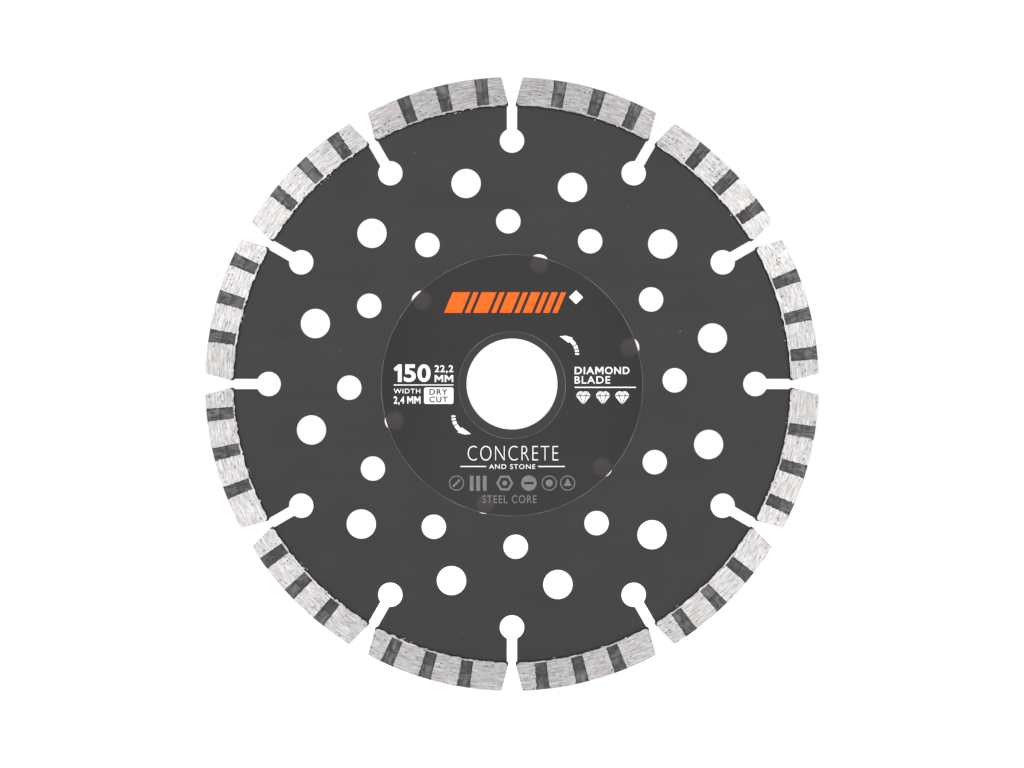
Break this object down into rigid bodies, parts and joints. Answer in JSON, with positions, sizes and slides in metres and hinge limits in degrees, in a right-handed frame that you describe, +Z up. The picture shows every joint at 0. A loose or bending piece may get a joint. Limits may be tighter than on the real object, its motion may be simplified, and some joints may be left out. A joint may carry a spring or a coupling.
{
  "type": "diamond blade",
  "caption": "Segmented diamond cutting disc: slotted steel core with cooling holes, grooved sintered rim segments and a round label.",
  "frame": {"origin": "centre of the bore on the core's mid-plane", "axes": "the blade stands upright: Y is the spin axis, the labelled front face looks along -Y, +X is to the right seen from the front and +Z is up"},
  "size_m": [0.15, 0.0024, 0.15],
  "materials": {
    "core_paint": "satin grey paint on sheet steel",
    "segment_metal": "ground sintered metal matrix with diamond grit",
    "label_film": "printed charcoal film"
  },
  "bodies": {
    "root": {"core": "core_paint", "segment_01": "segment_metal", "segment_02": "segment_metal", "segment_03": "segment_metal", "segment_04": "segment_metal", "segment_05": "segment_metal", "segment_06": "segment_metal", "segment_07": "segment_metal", "segment_08": "segment_metal", "segment_09": "segment_metal", "segment_10": "segment_metal", "segment_11": "segment_metal", "segment_12": "segment_metal", "label": "label_film"}
  },
  "joints": []
}
